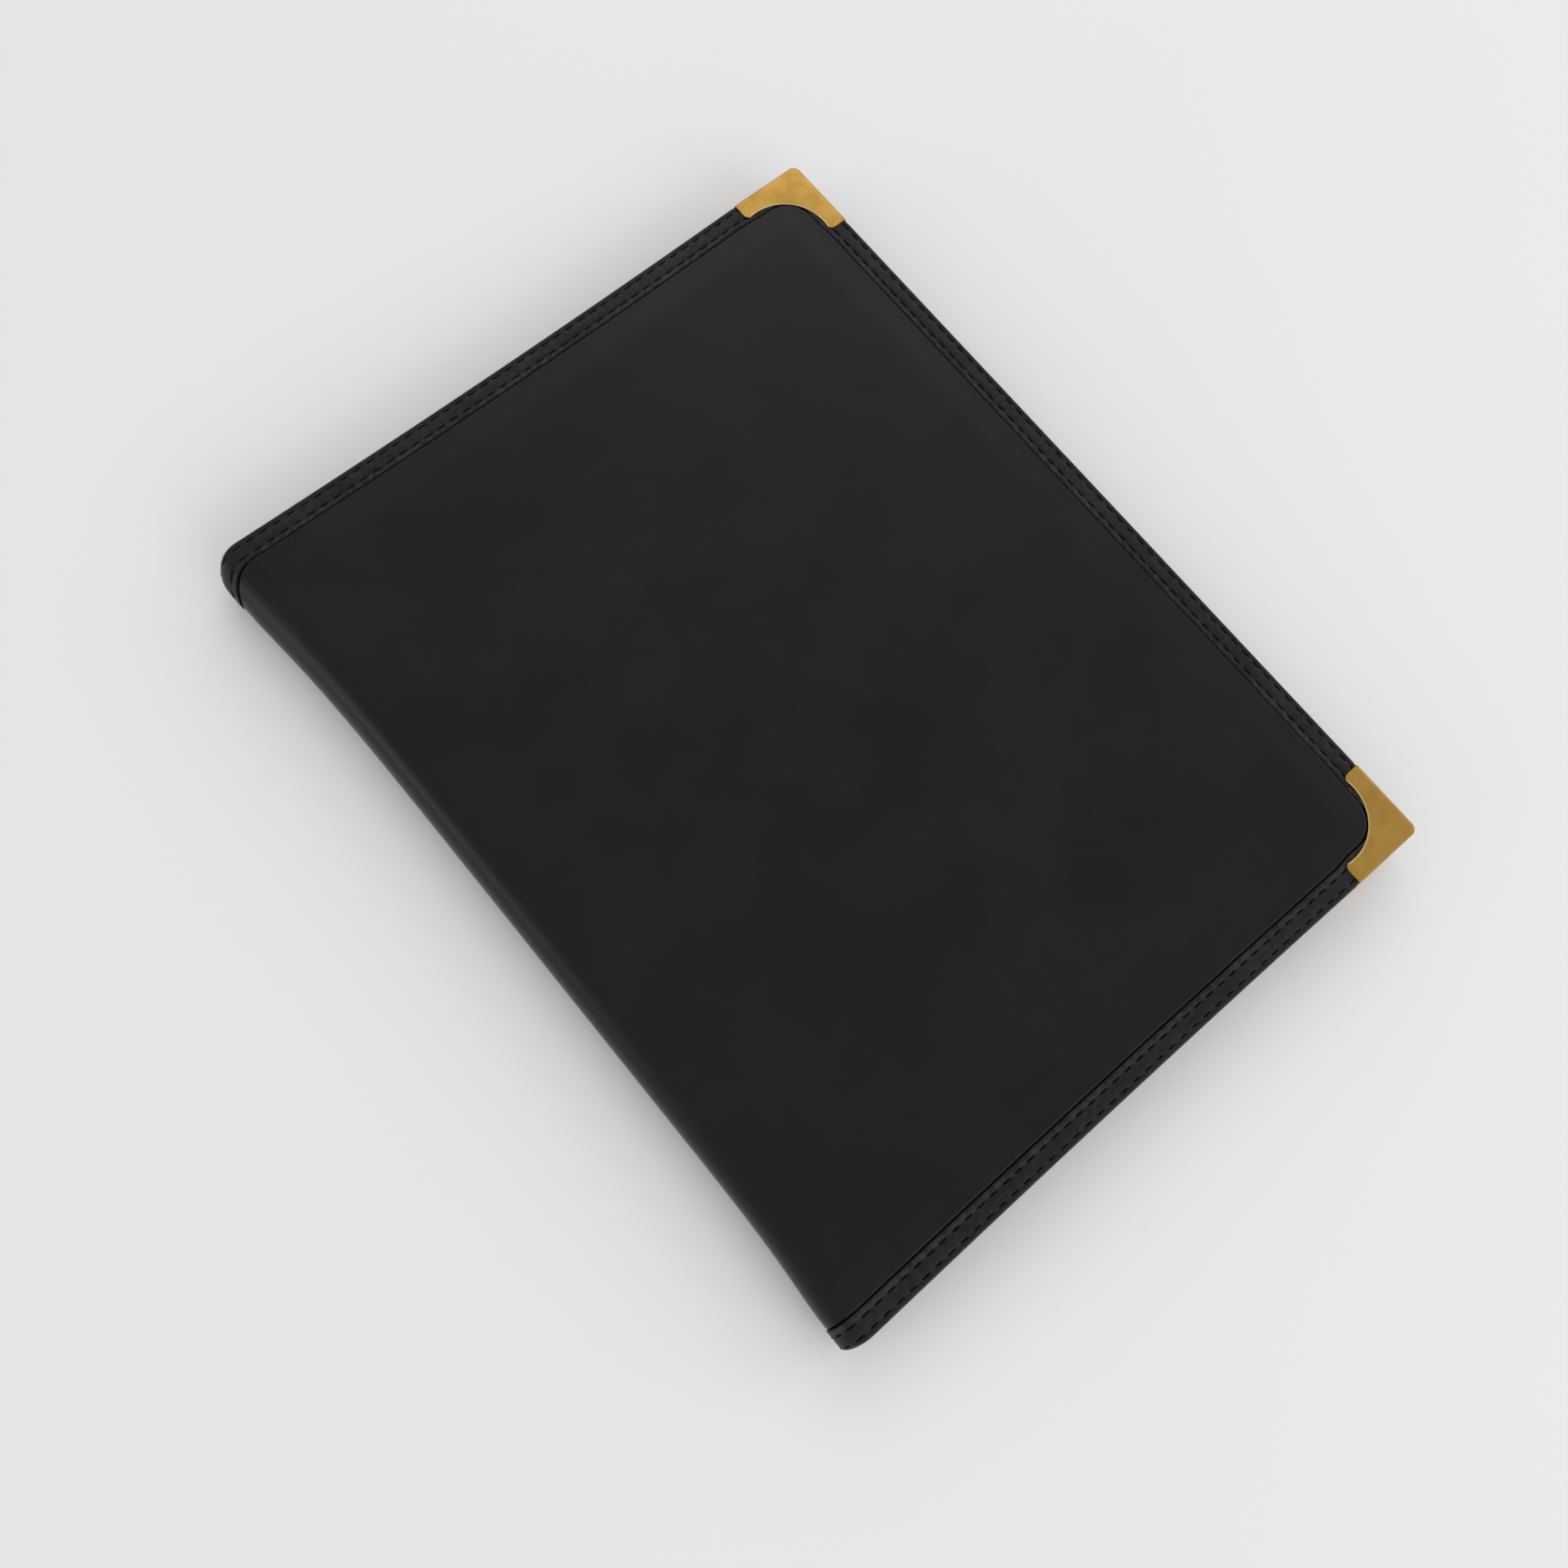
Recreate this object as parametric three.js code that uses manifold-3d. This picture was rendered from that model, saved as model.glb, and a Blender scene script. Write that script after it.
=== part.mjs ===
// A padded leather menu folder, closed and lying on its back cover. Millimetres, +Z up.
// The spine is at -X, the fore edge at +X and the head at +Y. Depth is measured from a
// cover's outer face towards the pages, so the back cover's depth is its height.

import * as THREE from 'three';
import { mergeVertices } from 'three/addons/utils/BufferGeometryUtils.js';
import Module from 'manifold-3d';

// Overall
const height = 315;
const width = 244.8;
const closedThickness = 21;
const coverCornerRadius = 2.1;

// Layers of a cover, from the outside in
const skinThickness = 0.9;
const paddingThickness = 2.4;
const boardThickness = 2.5;
const liningThickness = 0.6;
const pocketThickness = 0.3;
const layerGap = 0.1;
const edgeGap = 0.3;

// Binding strip, sewn round the edges, with two seams sunk in it
const bindingThickness = 0.9;
const bindingWidth = 8.5;
const outerSeamInset = 2.1;
const innerSeamInset = 6.1;
const seamGrooveWidth = 1.2;
const seamGrooveDepth = 0.5;
const threadWidth = 0.6;

// Padded field inside the binding
const fieldGap = 0.3;
const fieldRun = 4.5;
const pocketSetback = 8;

// Corner clips of folded sheet
const clipSheet = 0.5;
const clipArm = 27.8;
const clipArcInset = 23.5;
const clipArcRadius = 17;
const clipEndRadius = 1.8;
const clipFieldGap = 0.4;

// Spine roll and its two hinge lines
const hingeGap = 0.3;
const spineEndPull = 4;

// Fineness of the round parts
const rollSegments = 48;
const shoulderSteps = 5;
const cornerSegments = 6;
const sharpCorner = 0.1;
const mergeStep = 1e-4;
const overrun = 20;

// Depths that follow from the layers
const rollRadius = closedThickness / 2;
const boardFace = skinThickness + paddingThickness + 2 * layerGap;
const borderSkinFace = boardFace - skinThickness;
const bindingBack = borderSkinFace - layerGap;
const bindingFace = bindingBack - bindingThickness;
const liningFace = boardFace + boardThickness;
const pocketFace = liningFace + liningThickness;
const innerBindingFace = pocketFace + pocketThickness;
const innerBindingBack = innerBindingFace + bindingThickness;
const seamBottom = bindingFace + seamGrooveDepth;

// Places that follow from the overall sizes; the box round the folder is centred on the origin
const spineX = -(width + clipSheet) / 2;
const foreX = spineX + width;
const hingeX = spineX + rollRadius;
const halfHeight = height / 2;
const layerInset = bindingThickness + edgeGap;
const fieldInset = bindingWidth + fieldGap;

const materials = {
  leather: new THREE.MeshStandardMaterial({ color: 0x2a2a2b, roughness: 0.45, metalness: 0 }),
  border: new THREE.MeshStandardMaterial({ color: 0x303031, roughness: 0.5, metalness: 0 }),
  thread: new THREE.MeshStandardMaterial({ color: 0x1b1b1c, roughness: 0.7, metalness: 0 }),
  brass: new THREE.MeshStandardMaterial({ color: 0xc6a358, roughness: 0.35, metalness: 1 }),
  foam: new THREE.MeshStandardMaterial({ color: 0xd8d4c8, roughness: 0.95, metalness: 0 }),
  board: new THREE.MeshStandardMaterial({ color: 0x8a8375, roughness: 0.9, metalness: 0 }),
  lining: new THREE.MeshStandardMaterial({ color: 0x202124, roughness: 0.8, metalness: 0 }),
  vinyl: new THREE.MeshStandardMaterial({ color: 0xe8eef0, roughness: 0.15, metalness: 0 }),
};

const wasm = await Module();
wasm.setup();

function solid(geometry) {
  geometry.deleteAttribute('normal');
  geometry.deleteAttribute('uv');
  const merged = mergeVertices(geometry, mergeStep);
  return new wasm.Manifold(new wasm.Mesh({
    numProp: 3,
    vertProperties: new Float32Array(merged.attributes.position.array),
    triVerts: new Uint32Array(merged.index.array),
  }));
}

function toGeometry(body) {
  const mesh = body.getMesh();
  const geometry = new THREE.BufferGeometry();
  geometry.setAttribute('position', new THREE.BufferAttribute(mesh.vertProperties, mesh.numProp));
  geometry.setIndex(new THREE.BufferAttribute(mesh.triVerts, 1));
  geometry.computeVertexNormals();
  return geometry;
}

function box(x0, x1, y0, y1, z0, z1) {
  const geometry = new THREE.BoxGeometry(x1 - x0, y1 - y0, z1 - z0);
  geometry.translate((x0 + x1) / 2, (y0 + y1) / 2, (z0 + z1) / 2);
  return solid(geometry);
}

function prism(shape, z0, z1) {
  const options = { depth: z1 - z0, bevelEnabled: false, curveSegments: cornerSegments };
  const geometry = new THREE.ExtrudeGeometry(shape, options);
  geometry.translate(0, 0, z0);
  return solid(geometry);
}

// Keeps what lies on the fore-edge side of a line along the spine.
function beyond(x, body) {
  return body.intersect(box(x, foreX + overrun, -height, height, -overrun, closedThickness + overrun));
}

// A cover's outline set in from its edges, running past the hinge line on the spine side.
function coverShape(inset) {
  const x1 = foreX - inset;
  const y1 = halfHeight - inset;
  const r = Math.max(coverCornerRadius - inset, sharpCorner);
  const shape = new THREE.Shape();
  shape.moveTo(hingeX - overrun, -y1);
  shape.lineTo(x1 - r, -y1);
  shape.absarc(x1 - r, r - y1, r, -Math.PI / 2, 0, false);
  shape.lineTo(x1, y1 - r);
  shape.absarc(x1 - r, y1 - r, r, 0, Math.PI / 2, false);
  shape.lineTo(hingeX - overrun, y1);
  shape.closePath();
  return shape;
}

// The padded field's outline, whose fore-edge corners run round the clips' arcs.
function fieldShape(inset) {
  const reach = clipArcInset - fieldInset - inset;
  const r = clipArcRadius - clipFieldGap - inset;
  const meet = Math.acos(Math.min(reach / r, 1));
  const cx = foreX - clipArcInset;
  const cy = halfHeight - clipArcInset;
  const shape = new THREE.Shape();
  shape.moveTo(hingeX - overrun, -cy - reach);
  shape.lineTo(cx, -cy - reach);
  shape.absarc(cx, -cy, r, meet - Math.PI / 2, -meet, false);
  shape.absarc(cx, cy, r, meet, Math.PI / 2 - meet, false);
  shape.lineTo(hingeX - overrun, cy + reach);
  shape.closePath();
  return shape;
}

// How a field's shoulder goes down to the border, as depths and distances from the edge.
function shoulder(inset, face) {
  const points = [];
  for (let level = 0; level <= shoulderSteps; level += 1) {
    const turn = (level / shoulderSteps) * (Math.PI / 2);
    points.push({
      depth: face + borderSkinFace * (1 - Math.cos(turn)),
      inset: fieldInset + inset + fieldRun * (1 - Math.sin(turn)),
    });
  }
  return points;
}

// A padded field: flat on its outer face, with that shoulder round it. The outline is
// extruded in one step for each level, and each level's ring is then drawn in.
function pillow(inset, face, back) {
  const outline = (set) => fieldShape(set).extractPoints(cornerSegments).shape;
  const levels = [...shoulder(inset, face), { depth: back + overrun, inset: fieldInset + inset }];
  const rings = levels.map((level) => outline(level.inset - fieldInset));
  const key = (x, y) => `${x.toFixed(3)} ${y.toFixed(3)}`;
  const places = new Map(outline(inset).map((p, i) => [key(p.x, p.y), i]));
  const geometry = new THREE.ExtrudeGeometry(fieldShape(inset), {
    depth: levels.length - 1,
    steps: levels.length - 1,
    bevelEnabled: false,
    curveSegments: cornerSegments,
  });
  const position = geometry.attributes.position;
  for (let i = 0; i < position.count; i += 1) {
    const level = Math.round(position.getZ(i));
    const point = rings[level][places.get(key(position.getX(i), position.getY(i)))];
    position.setXYZ(i, point.x, point.y, levels[level].depth);
  }
  return solid(geometry).intersect(box(hingeX, foreX, -height, height, face - overrun, back));
}

// Revolves a closed section of depths and insets about the spine roll's centre line, and
// draws the roll's head and tail in where they reach furthest from the covers.
function roll(section) {
  const points = section.map((p) => new THREE.Vector2(rollRadius - p.depth, halfHeight - p.inset));
  points.push(points[0].clone());
  const geometry = new THREE.LatheGeometry(points, rollSegments);
  const position = geometry.attributes.position;
  for (let i = 0; i < position.count; i += 1) {
    const reach = Math.max(-position.getX(i) / rollRadius, 0);
    position.setY(i, position.getY(i) * (1 - (spineEndPull * reach ** 2) / halfHeight));
  }
  geometry.translate(hingeX, 0, rollRadius);
  return solid(geometry);
}

// A layer of the roll from head to tail; its outer and inner sides are given from the
// middle to the head end and mirrored to the tail.
function rollLayer(outer, inner) {
  const mirror = (points) => points.map((p) => ({ depth: p.depth, inset: height - p.inset }));
  return roll([...mirror(outer).reverse(), ...outer, ...[...inner].reverse(), ...mirror(inner)]);
}

// A wedge of the roll between two hinge lines or between a hinge line and a cover.
function wedge(corners) {
  const shape = new THREE.Shape(corners.map(([x, z]) => new THREE.Vector2(x, z)));
  const geometry = new THREE.ExtrudeGeometry(shape, { depth: 2 * height, bevelEnabled: false });
  geometry.translate(0, 0, -height);
  geometry.rotateX(Math.PI / 2);
  geometry.translate(hingeX, 0, rollRadius);
  return solid(geometry);
}

const far = 2 * rollRadius;
const step = hingeGap / Math.SQRT2;
const coverWedge = () => wedge([[0, -step], [-far, -far - step], [0, -far - step]]);
const spineWedge = () => wedge([[-step, 0], [-far - step, far], [-far - step, -far]]);

// Each layer below is made twice over: once for a cover, and once for the spine.

function skinRoll() {
  const end = { depth: borderSkinFace, inset: layerInset };
  const innerEnd = { depth: boardFace, inset: layerInset };
  return rollLayer(
    [...shoulder(0, 0), end],
    [...shoulder(skinThickness, skinThickness), innerEnd],
  );
}

function coverSkin() {
  const border = prism(coverShape(layerInset), borderSkinFace, boardFace);
  const hollow = pillow(skinThickness, skinThickness, boardFace + overrun);
  const flat = beyond(hingeX, pillow(0, 0, boardFace).add(border).subtract(hollow));
  return flat.add(skinRoll().intersect(coverWedge()));
}

function paddingRoll() {
  const set = skinThickness + layerGap;
  const outer = shoulder(set, set).filter((p) => p.depth < boardFace + layerGap);
  const inner = liningFace - layerGap;
  return rollLayer(
    [...outer, { depth: boardFace + layerGap, inset: fieldInset + set },
      { depth: boardFace + layerGap, inset: layerInset }],
    [{ depth: inner, inset: layerInset }],
  );
}

function coverPadding() {
  const set = skinThickness + layerGap;
  return pillow(set, set, boardFace - layerGap).add(paddingRoll().intersect(coverWedge()));
}

function coverBoard() {
  return beyond(hingeX + hingeGap, prism(coverShape(layerInset), boardFace, liningFace));
}

function liningRoll() {
  return rollLayer(
    [{ depth: liningFace, inset: layerInset }],
    [{ depth: pocketFace, inset: layerInset }],
  );
}

function coverLining() {
  const flat = beyond(hingeX, prism(coverShape(layerInset), liningFace, pocketFace));
  return flat.add(liningRoll().intersect(coverWedge()));
}

function coverPocket() {
  return beyond(hingeX + pocketSetback, prism(coverShape(layerInset), pocketFace, innerBindingFace));
}

function band(outerInset, innerInset, z0, z1) {
  return prism(coverShape(outerInset), z0, z1).subtract(prism(coverShape(innerInset), z0 - 1, z1 + 1));
}

// The folded strip's section at the head, with a groove for each seam in its outer leg.
function bindingSection() {
  const points = [{ depth: bindingFace, inset: bindingWidth }];
  for (const seam of [innerSeamInset, outerSeamInset]) {
    const near = seam + seamGrooveWidth / 2;
    const other = seam - seamGrooveWidth / 2;
    points.push({ depth: bindingFace, inset: near }, { depth: seamBottom, inset: near });
    points.push({ depth: seamBottom, inset: other }, { depth: bindingFace, inset: other });
  }
  points.push(
    { depth: bindingFace, inset: 0 },
    { depth: innerBindingBack, inset: 0 },
    { depth: innerBindingBack, inset: bindingWidth },
    { depth: innerBindingFace, inset: bindingWidth },
    { depth: innerBindingFace, inset: bindingThickness },
    { depth: bindingBack, inset: bindingThickness },
    { depth: bindingBack, inset: bindingWidth },
  );
  return points;
}

function threadSection(seam) {
  const near = seam + threadWidth / 2;
  const other = seam - threadWidth / 2;
  return [
    { depth: bindingFace + layerGap, inset: near },
    { depth: bindingFace + layerGap, inset: other },
    { depth: seamBottom - layerGap, inset: other },
    { depth: seamBottom - layerGap, inset: near },
  ];
}

// A section given at the head, turned over to the tail.
function atTail(section) {
  return section.map((p) => ({ depth: p.depth, inset: height - p.inset })).reverse();
}

function bindingRoll(end) {
  return roll(end === 'top' ? bindingSection() : atTail(bindingSection()));
}

function threadRoll(seam, end) {
  return roll(end === 'top' ? threadSection(seam) : atTail(threadSection(seam)));
}

function coverBinding() {
  let flat = prism(coverShape(0), bindingFace, innerBindingBack)
    .subtract(prism(coverShape(bindingThickness), bindingBack, innerBindingFace))
    .subtract(prism(coverShape(bindingWidth), -overrun, overrun));
  for (const seam of [innerSeamInset, outerSeamInset]) {
    const near = seam + seamGrooveWidth / 2;
    flat = flat.subtract(band(seam - seamGrooveWidth / 2, near, -overrun, seamBottom));
  }
  return beyond(hingeX, flat)
    .add(bindingRoll('top').intersect(coverWedge()))
    .add(bindingRoll('bottom').intersect(coverWedge()));
}

function coverSeam(seam) {
  const top = bindingFace + layerGap;
  const near = seam + threadWidth / 2;
  const flat = beyond(hingeX, band(seam - threadWidth / 2, near, top, seamBottom - layerGap));
  return flat
    .add(threadRoll(seam, 'top').intersect(coverWedge()))
    .add(threadRoll(seam, 'bottom').intersect(coverWedge()));
}

// A clip seen from outside: two arms, joined by an arc round the padded field's corner.
function clipShape() {
  const cx = foreX - clipArcInset;
  const cy = halfHeight - clipArcInset;
  const armX = foreX - clipArm;
  const armY = halfHeight - clipArm;
  const past = clipArm - clipArcInset;
  const reach = Math.sqrt(clipArcRadius ** 2 - past ** 2);
  const start = Math.atan2(reach, -past);
  const ease = clipEndRadius / clipArcRadius;
  const x1 = foreX + clipSheet;
  const y1 = halfHeight + clipSheet;
  const r = coverCornerRadius + clipSheet;
  const last = Math.PI / 2 - start;
  const shape = new THREE.Shape();
  shape.moveTo(x1, armY);
  shape.lineTo(x1, y1 - r);
  shape.absarc(x1 - r, y1 - r, r, 0, Math.PI / 2, false);
  shape.lineTo(armX, y1);
  shape.lineTo(armX, cy + reach + clipEndRadius);
  shape.quadraticCurveTo(
    armX,
    cy + reach,
    cx + clipArcRadius * Math.cos(start - ease),
    cy + clipArcRadius * Math.sin(start - ease),
  );
  shape.absarc(cx, cy, clipArcRadius, start - ease, last + ease, true);
  shape.quadraticCurveTo(cx + reach, armY, cx + reach + clipEndRadius, armY);
  shape.closePath();
  return shape;
}

function topClip() {
  return prism(clipShape(), bindingFace - clipSheet, innerBindingBack + clipSheet)
    .subtract(prism(coverShape(0), bindingFace, innerBindingBack));
}

const folder = new THREE.Group();

function add(name, body, material) {
  const mesh = new THREE.Mesh(toGeometry(body), material);
  mesh.name = name;
  folder.add(mesh);
  return mesh;
}

// Turns a back-cover piece over, about the line midway between the covers.
function turnOver(mesh) {
  mesh.rotation.x = Math.PI;
  mesh.position.z = closedThickness;
}

for (const side of ['back', 'front']) {
  const pieces = [
    add(`${side}_skin`, coverSkin(), materials.leather),
    add(`${side}_padding`, coverPadding(), materials.foam),
    add(`${side}_board`, coverBoard(), materials.board),
    add(`${side}_lining`, coverLining(), materials.lining),
    add(`${side}_pocket`, coverPocket(), materials.vinyl),
    add(`${side}_binding`, coverBinding(), materials.border),
    add(`${side}_outer_seam`, coverSeam(outerSeamInset), materials.thread),
    add(`${side}_inner_seam`, coverSeam(innerSeamInset), materials.thread),
  ];
  if (side === 'front') {
    pieces.forEach(turnOver);
  }
}

// The clips turn about the fore edge's middle: one shape serves all four corners.
for (const [name, front, tail] of [
  ['back_top_clip', false, false],
  ['back_bottom_clip', false, true],
  ['front_top_clip', true, true],
  ['front_bottom_clip', true, false],
]) {
  const clip = add(name, tail ? topClip().mirror([0, 1, 0]) : topClip(), materials.brass);
  if (front) {
    turnOver(clip);
  }
}

add('spine_skin', skinRoll().intersect(spineWedge()), materials.leather);
add('spine_padding', paddingRoll().intersect(spineWedge()), materials.foam);
add('spine_lining', liningRoll().intersect(spineWedge()), materials.lining);
for (const end of ['top', 'bottom']) {
  add(`spine_${end}_binding`, bindingRoll(end).intersect(spineWedge()), materials.border);
  add(`spine_${end}_outer_seam`, threadRoll(outerSeamInset, end).intersect(spineWedge()), materials.thread);
  add(`spine_${end}_inner_seam`, threadRoll(innerSeamInset, end).intersect(spineWedge()), materials.thread);
}

export default folder;
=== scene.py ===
import bmesh
import bpy
import numpy as np
from mathutils import Matrix, Vector


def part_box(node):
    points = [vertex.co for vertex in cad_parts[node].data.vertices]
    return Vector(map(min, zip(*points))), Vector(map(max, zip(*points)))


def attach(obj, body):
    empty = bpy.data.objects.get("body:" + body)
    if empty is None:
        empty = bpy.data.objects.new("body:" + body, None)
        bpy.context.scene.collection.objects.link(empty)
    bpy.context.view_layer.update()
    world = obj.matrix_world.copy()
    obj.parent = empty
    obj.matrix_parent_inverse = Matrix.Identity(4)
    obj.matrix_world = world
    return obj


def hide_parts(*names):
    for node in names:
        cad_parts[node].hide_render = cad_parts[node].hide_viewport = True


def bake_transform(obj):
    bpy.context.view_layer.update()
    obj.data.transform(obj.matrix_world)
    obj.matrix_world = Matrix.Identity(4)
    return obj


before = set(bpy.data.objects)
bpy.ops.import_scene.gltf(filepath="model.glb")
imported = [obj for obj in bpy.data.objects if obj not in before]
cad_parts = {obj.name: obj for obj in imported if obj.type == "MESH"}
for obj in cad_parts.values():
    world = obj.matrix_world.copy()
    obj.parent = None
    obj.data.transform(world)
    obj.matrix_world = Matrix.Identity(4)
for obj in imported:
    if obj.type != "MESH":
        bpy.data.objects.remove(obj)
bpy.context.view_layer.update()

# The camera looks down on the closed folder, a little from the tail and the spine side.
# Its turn about its own axis stands the spine on a slant, head to the upper left.
mm = 0.001
camera_place = Vector((-124.65, -81.4, 447.6)) * mm
camera_right = Vector((0.7628, -0.6426, 0.0721)).normalized()
camera_back = Vector((-0.2163, -0.1484, 0.965)).normalized()
camera_up = camera_back.cross(camera_right).normalized()
camera_right = camera_up.cross(camera_back)
camera = bpy.data.objects.new("camera", bpy.data.cameras.new("camera"))
camera.data.sensor_fit = "HORIZONTAL"
camera.data.sensor_width = 36
camera.data.lens = 32.04
camera.data.clip_start = 0.01
camera.matrix_world = Matrix((
    (camera_right.x, camera_up.x, camera_back.x, camera_place.x),
    (camera_right.y, camera_up.y, camera_back.y, camera_place.y),
    (camera_right.z, camera_up.z, camera_back.z, camera_place.z),
    (0, 0, 0, 1),
))
bpy.context.scene.collection.objects.link(camera)
bpy.context.scene.camera = camera


# The padded covers are one smooth black leather skin from the front, round the spine and
# to the back, pulled down over foam at head, fore edge and tail. It is made here in two
# halves that meet at the middle of the spine, one for each cover.
covers = ((1, "front"), (-1, "back"))
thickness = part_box("front_skin")[1].z
roll = thickness / 2
hinge_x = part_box("spine_skin")[0].x + roll
fore_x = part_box("front_binding")[1].x
half_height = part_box("front_binding")[1].y
flat_width = fore_x - hinge_x
head_bow, head_shift = 1.25 * mm, -0.35 * mm
tail_bow, tail_shift = 0.7 * mm, 0.15 * mm
bow_run = 0.46 * flat_width
bow_shift = 1.02
straight_end = 24 * mm
straight_fading = 6 * mm
end_pull = 0.2 * mm
head_slant = 7.2 * mm
slant_fading = 40 * mm
spine_waist = 0.7 * mm
head_flare = 4.15 * mm
tail_flare = 2.4 * mm
head_fading = 36 * mm
tail_fading = 23 * mm
flare_place = 149 * mm
head_round = (3.6 * mm, 8.4 * mm)
tail_round = (3.0 * mm, 3.0 * mm)
round_end = 158.6 * mm
fore_bow = 0.6 * mm
skin_thickness = 0.9 * mm
field_inset = 8.6 * mm
lip_run = 0.6 * mm
lip_drop = 1.9 * mm
pillow_run = 12 * mm
pillow_drop = 0.7 * mm
crown_lost = 0.7
groove_lost = 0.45
sag = 0.07 * mm
sag_waves = (61, 43, 29, 37)
skin_inset = 1.2 * mm
field_corner = 10.6 * mm
round_roll = -roll * np.pi / 2


def smooth(share):
    """3s**2 - 2s**3 of a share held between 0 and 1."""
    share = np.clip(share, 0, 1)
    return (3 - 2 * share) * share**2


def wrap(side, along, across, depth):
    """Lays a flat pattern round the folder.

    along is the distance from the hinge line towards the fore edge and, below zero, the arc
    round the roll. across runs from tail to head, and depth goes in from the padded face.
    Head and tail are bowed by a parabola of along that fades out beside the clips, and drawn
    in by the fourth power of how far round the roll a point lies. The roll has a waist and
    flares out to both ends, as the exponential of minus the power 1.5 of what is left of its
    length. Its very ends turn in again by the square of what is past their start. At the head
    the roll's end slants, by the cube of how far round it lies.
    """
    along, across, depth = np.broadcast_arrays(along, across, depth)
    turn = np.clip(-along / roll, 0, np.pi / 2)
    x = hinge_x + np.maximum(along, 0) - (roll - depth) * np.sin(turn)
    z = (roll - depth) * np.cos(turn)
    reach = np.clip((hinge_x - x) / roll, 0, 1)
    middle = np.clip(along, 0, None) / bow_run - bow_shift
    head_line = head_bow * middle**2 + head_shift
    tail_line = tail_bow * middle**2 + tail_shift
    bow = np.where(across > 0, head_line, tail_line)
    bow = bow * smooth((flat_width - straight_end - along) / straight_fading)
    bow = bow - end_pull * reach**4
    from_head = half_height - across
    slant = head_slant * reach**3 * smooth(from_head / field_inset)
    slant = slant * np.exp(-np.clip(from_head - field_inset, 0, None) / slant_fading)
    y = across + across / half_height * bow - slant
    short = np.clip(flare_place - np.abs(y), 0, None)
    head_end = head_flare * np.exp(-((short / head_fading) ** 1.5))
    tail_end = tail_flare * np.exp(-((short / tail_fading) ** 1.5))
    flare = np.where(y > 0, head_end, tail_end)
    left = round_end - np.abs(y)
    for sign, (turned_in, run) in ((1, head_round), (-1, tail_round)):
        past = np.clip(1 - left / run, 0, 1)
        flare = flare - np.where(sign * y > 0, turned_in * past**2, 0)
    x = x - reach * (flare - spine_waist)
    free = smooth((half_height - straight_end - np.abs(y)) / straight_fading)
    x = x + fore_bow * np.clip(along, 0, None) / flat_width * free
    return np.stack([x, y, roll + side * z], -1)


def field_depth(along, across, inset, face):
    """Depth of the padded face, inset from the border's groove and round at the clips.

    Within a short run the square of what is left lets it down into the groove, and over a
    longer run it rises as 3s**2 - 2s**3. Past these it sags in low waves, whose numbers are
    radians to the metre.
    """
    x = hinge_x + along
    y = np.abs(across)
    from_fore = fore_x - x - field_inset
    from_end = half_height - y - field_inset
    short_x = np.clip(field_corner - from_fore, 0, None)
    short_y = np.clip(field_corner - from_end, 0, None)
    nearest = np.minimum(from_fore, from_end)
    corner = field_corner - np.hypot(short_x, short_y)
    inside = np.where(nearest > field_corner, nearest, corner) - inset
    lip = np.clip(1 - inside / lip_run, 0, 1) ** 2
    down = 1 - smooth(inside / pillow_run)
    rounded = np.clip(-along / roll, 0, 1)
    wave = np.sin(x * sag_waves[0] + 1.3) * np.sin(y * sag_waves[1] + 0.4)
    wave = wave + np.sin(x * sag_waves[2] - y * sag_waves[3])
    settled = (1 - down) ** 2 * np.clip(along / field_inset, 0, 1)
    crown = pillow_drop * (1 - crown_lost * rounded) * down
    groove = lip_drop * (1 - groove_lost * rounded) * lip
    return face + crown + groove + sag * settled * (1 + 0.5 * wave)


def grid_lines(*stretches):
    """Points along a line: each stretch is its start, its end and its number of steps."""
    parts = [np.linspace(start, end, steps, endpoint=False) for start, end, steps in stretches]
    return np.concatenate([*parts, [stretches[-1][1]]])


def make_piece(name, points, faces, uv, flat_from=None):
    """A mesh object from points, faces and a flat coordinate for each point.

    It is shaded smooth, but for the faces from number flat_from on.
    """
    mesh = bpy.data.meshes.new(name)
    mesh.from_pydata(points.reshape(-1, 3).tolist(), [], faces)
    layer = mesh.uv_layers.new(name="flat")
    corners = np.zeros(len(mesh.loops), int)
    mesh.loops.foreach_get("vertex_index", corners)
    layer.data.foreach_set("uv", uv.reshape(-1, 2)[corners].astype(np.float32).ravel())
    shaded_smooth = np.ones(len(mesh.polygons), bool)
    if flat_from is not None:
        shaded_smooth[flat_from:] = False
    mesh.polygons.foreach_set("use_smooth", shaded_smooth)
    body = bmesh.new()
    body.from_mesh(mesh)
    bmesh.ops.remove_doubles(body, verts=body.verts, dist=1e-7)
    bmesh.ops.recalc_face_normals(body, faces=body.faces)
    body.to_mesh(mesh)
    body.free()
    made = bpy.data.objects.new(name, mesh)
    bpy.context.scene.collection.objects.link(made)
    return made


def quads(index):
    """The faces of a grid of point numbers."""
    return np.stack([index[:-1, :-1], index[1:, :-1], index[1:, 1:], index[:-1, 1:]], -1)


def skin_between(name, outer, inner, uv):
    """A closed skin between two grids of points of one shape."""
    index = np.arange(outer.shape[0] * outer.shape[1]).reshape(outer.shape[:2])
    other = index + index.size
    rim = np.concatenate([index[0, :-1], index[:-1, -1], index[-1, :0:-1], index[:0:-1, 0]])
    after = np.roll(rim, -1)
    edge = np.stack([rim, rim + index.size, after + index.size, after], -1)
    grids = [quads(index).reshape(-1, 4), quads(other).reshape(-1, 4), edge]
    faces = np.concatenate(grids).tolist()
    points = np.concatenate([outer.reshape(-1, 3), inner.reshape(-1, 3)])
    return make_piece(name, points, faces, np.concatenate([uv, uv]), len(faces) - len(edge))


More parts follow.
